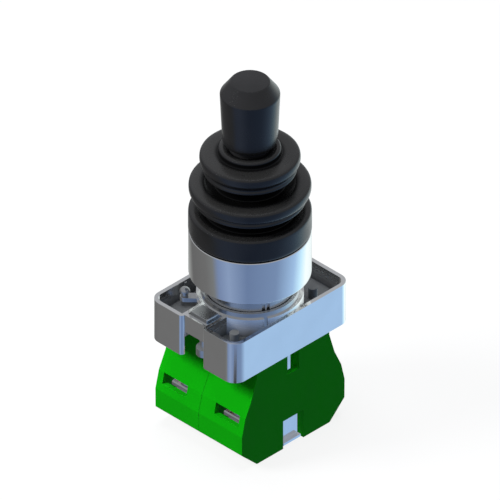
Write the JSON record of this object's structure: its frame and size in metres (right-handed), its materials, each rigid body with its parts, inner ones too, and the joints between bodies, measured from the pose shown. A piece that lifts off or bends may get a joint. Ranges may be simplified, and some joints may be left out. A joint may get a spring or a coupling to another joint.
{
  "type": "industrial joystick",
  "caption": "Two-direction spring-return panel joystick with rubber bellows boot, bright bezel, cast fixing collar with clamp, and two contact blocks under the collar.",
  "frame": {"origin": "axis of the round panel hole at the front face of the panel, where the bezel seats", "axes": "+Z towards the operator along the neck, +X the direction in which the handle tips, +Y along the collar's long side away from its clamp screw"},
  "size_m": [0.0304, 0.0404, 0.1011],
  "materials": {
    "bright_plating": "bright plated, polished",
    "die_cast_zinc": "polished die casting",
    "black_polymer": "moulded, satin",
    "black_rubber": "satin rubber",
    "grey_rubber": "matt rubber",
    "green_polymer": "moulded, satin",
    "white_polymer": "moulded, satin",
    "steel": "bright steel",
    "spring_steel": "spring steel",
    "zinc_plated_steel": "zinc plated",
    "brass": "turned",
    "contact_copper": "stamped copper alloy"
  },
  "bodies": {
    "base": {"bezel_ring": "bright_plating", "block_cover_left": "black_polymer", "block_cover_right": "black_polymer", "block_housing_left": "green_polymer", "block_housing_right": "green_polymer", "boot": "black_rubber", "boot_stiffener": "spring_steel", "centring_spring_left": "spring_steel", "centring_spring_right": "spring_steel", "collar_frame": "die_cast_zinc", "fixed_contact_left_front": "contact_copper", "fixed_contact_left_rear": "contact_copper", "fixed_contact_right_front": "contact_copper", "fixed_contact_right_rear": "contact_copper", "guide_plate": "black_polymer", "guide_plate_screws": "zinc_plated_steel", "head_body": "die_cast_zinc", "latch_clip_left": "spring_steel", "latch_clip_right": "spring_steel", "panel_gasket": "grey_rubber", "pivot_pin": "steel", "return_spring_left": "spring_steel", "return_spring_right": "spring_steel", "terminal_clamps": "zinc_plated_steel", "terminal_screws": "zinc_plated_steel"},
    "lever": {"rocker": "die_cast_zinc", "rocker_roll_pin": "spring_steel", "pivot_bushes": "white_polymer", "lever_shaft": "steel", "handle_lock_nut": "zinc_plated_steel", "lip_sleeve": "black_polymer", "handle_grip": "black_polymer", "handle_insert": "brass"},
    "pusher_right": {"head_pusher_right": "steel"},
    "pusher_left": {"head_pusher_left": "steel"},
    "plunger_right": {"plunger_right": "white_polymer", "contact_bridge_right": "contact_copper", "bridge_spring_right": "spring_steel"},
    "plunger_left": {"plunger_left": "white_polymer", "contact_bridge_left": "contact_copper", "bridge_spring_left": "spring_steel"},
    "lock": {"lock_ring": "zinc_plated_steel", "lock_knob": "zinc_plated_steel"},
    "clamp": {"clamp_screw": "zinc_plated_steel", "clamp_foot": "zinc_plated_steel"}
  },
  "joints": [
    {"name": "lever_tilt", "type": "hinge", "parent": "base", "child": "lever", "pos_m": [0, 0, 0.008], "axis": [0, 1, 0], "range_deg": [-15, 15], "stiffness_Nm_per_rad": 0.45, "deforming": ["boot"]},
    {"name": "pusher_right_slide", "type": "slide", "parent": "base", "child": "pusher_right", "axis": [0, 0, 1], "range_m": [-0.00195, 0.00195], "deforming": ["centring_spring_right"]},
    {"name": "plunger_right_slide", "type": "slide", "parent": "base", "child": "plunger_right", "axis": [0, 0, 1], "range_m": [-0.00195, 0.00195], "deforming": ["return_spring_right"]},
    {"name": "pusher_left_slide", "type": "slide", "parent": "base", "child": "pusher_left", "axis": [0, 0, 1], "range_m": [-0.00195, 0.00195], "deforming": ["centring_spring_left"]},
    {"name": "plunger_left_slide", "type": "slide", "parent": "base", "child": "plunger_left", "axis": [0, 0, 1], "range_m": [-0.00195, 0.00195], "deforming": ["return_spring_left"]},
    {"name": "lock_turn", "type": "hinge", "parent": "base", "child": "lock", "pos_m": [0, 0, -0.008], "axis": [0, 0, 1], "range_deg": [0, 22]},
    {"name": "clamp_lift", "type": "slide", "parent": "base", "child": "clamp", "axis": [0, 0, 1], "range_m": [0, 0.0039]}
  ],
  "couplings": [
    {"joint": "pusher_right_slide", "follows": "lever_tilt", "m_per_rad": -0.0074146},
    {"joint": "plunger_right_slide", "follows": "lever_tilt", "m_per_rad": -0.0074146},
    {"joint": "pusher_left_slide", "follows": "lever_tilt", "m_per_rad": 0.0074146},
    {"joint": "plunger_left_slide", "follows": "lever_tilt", "m_per_rad": 0.0074146}
  ]
}
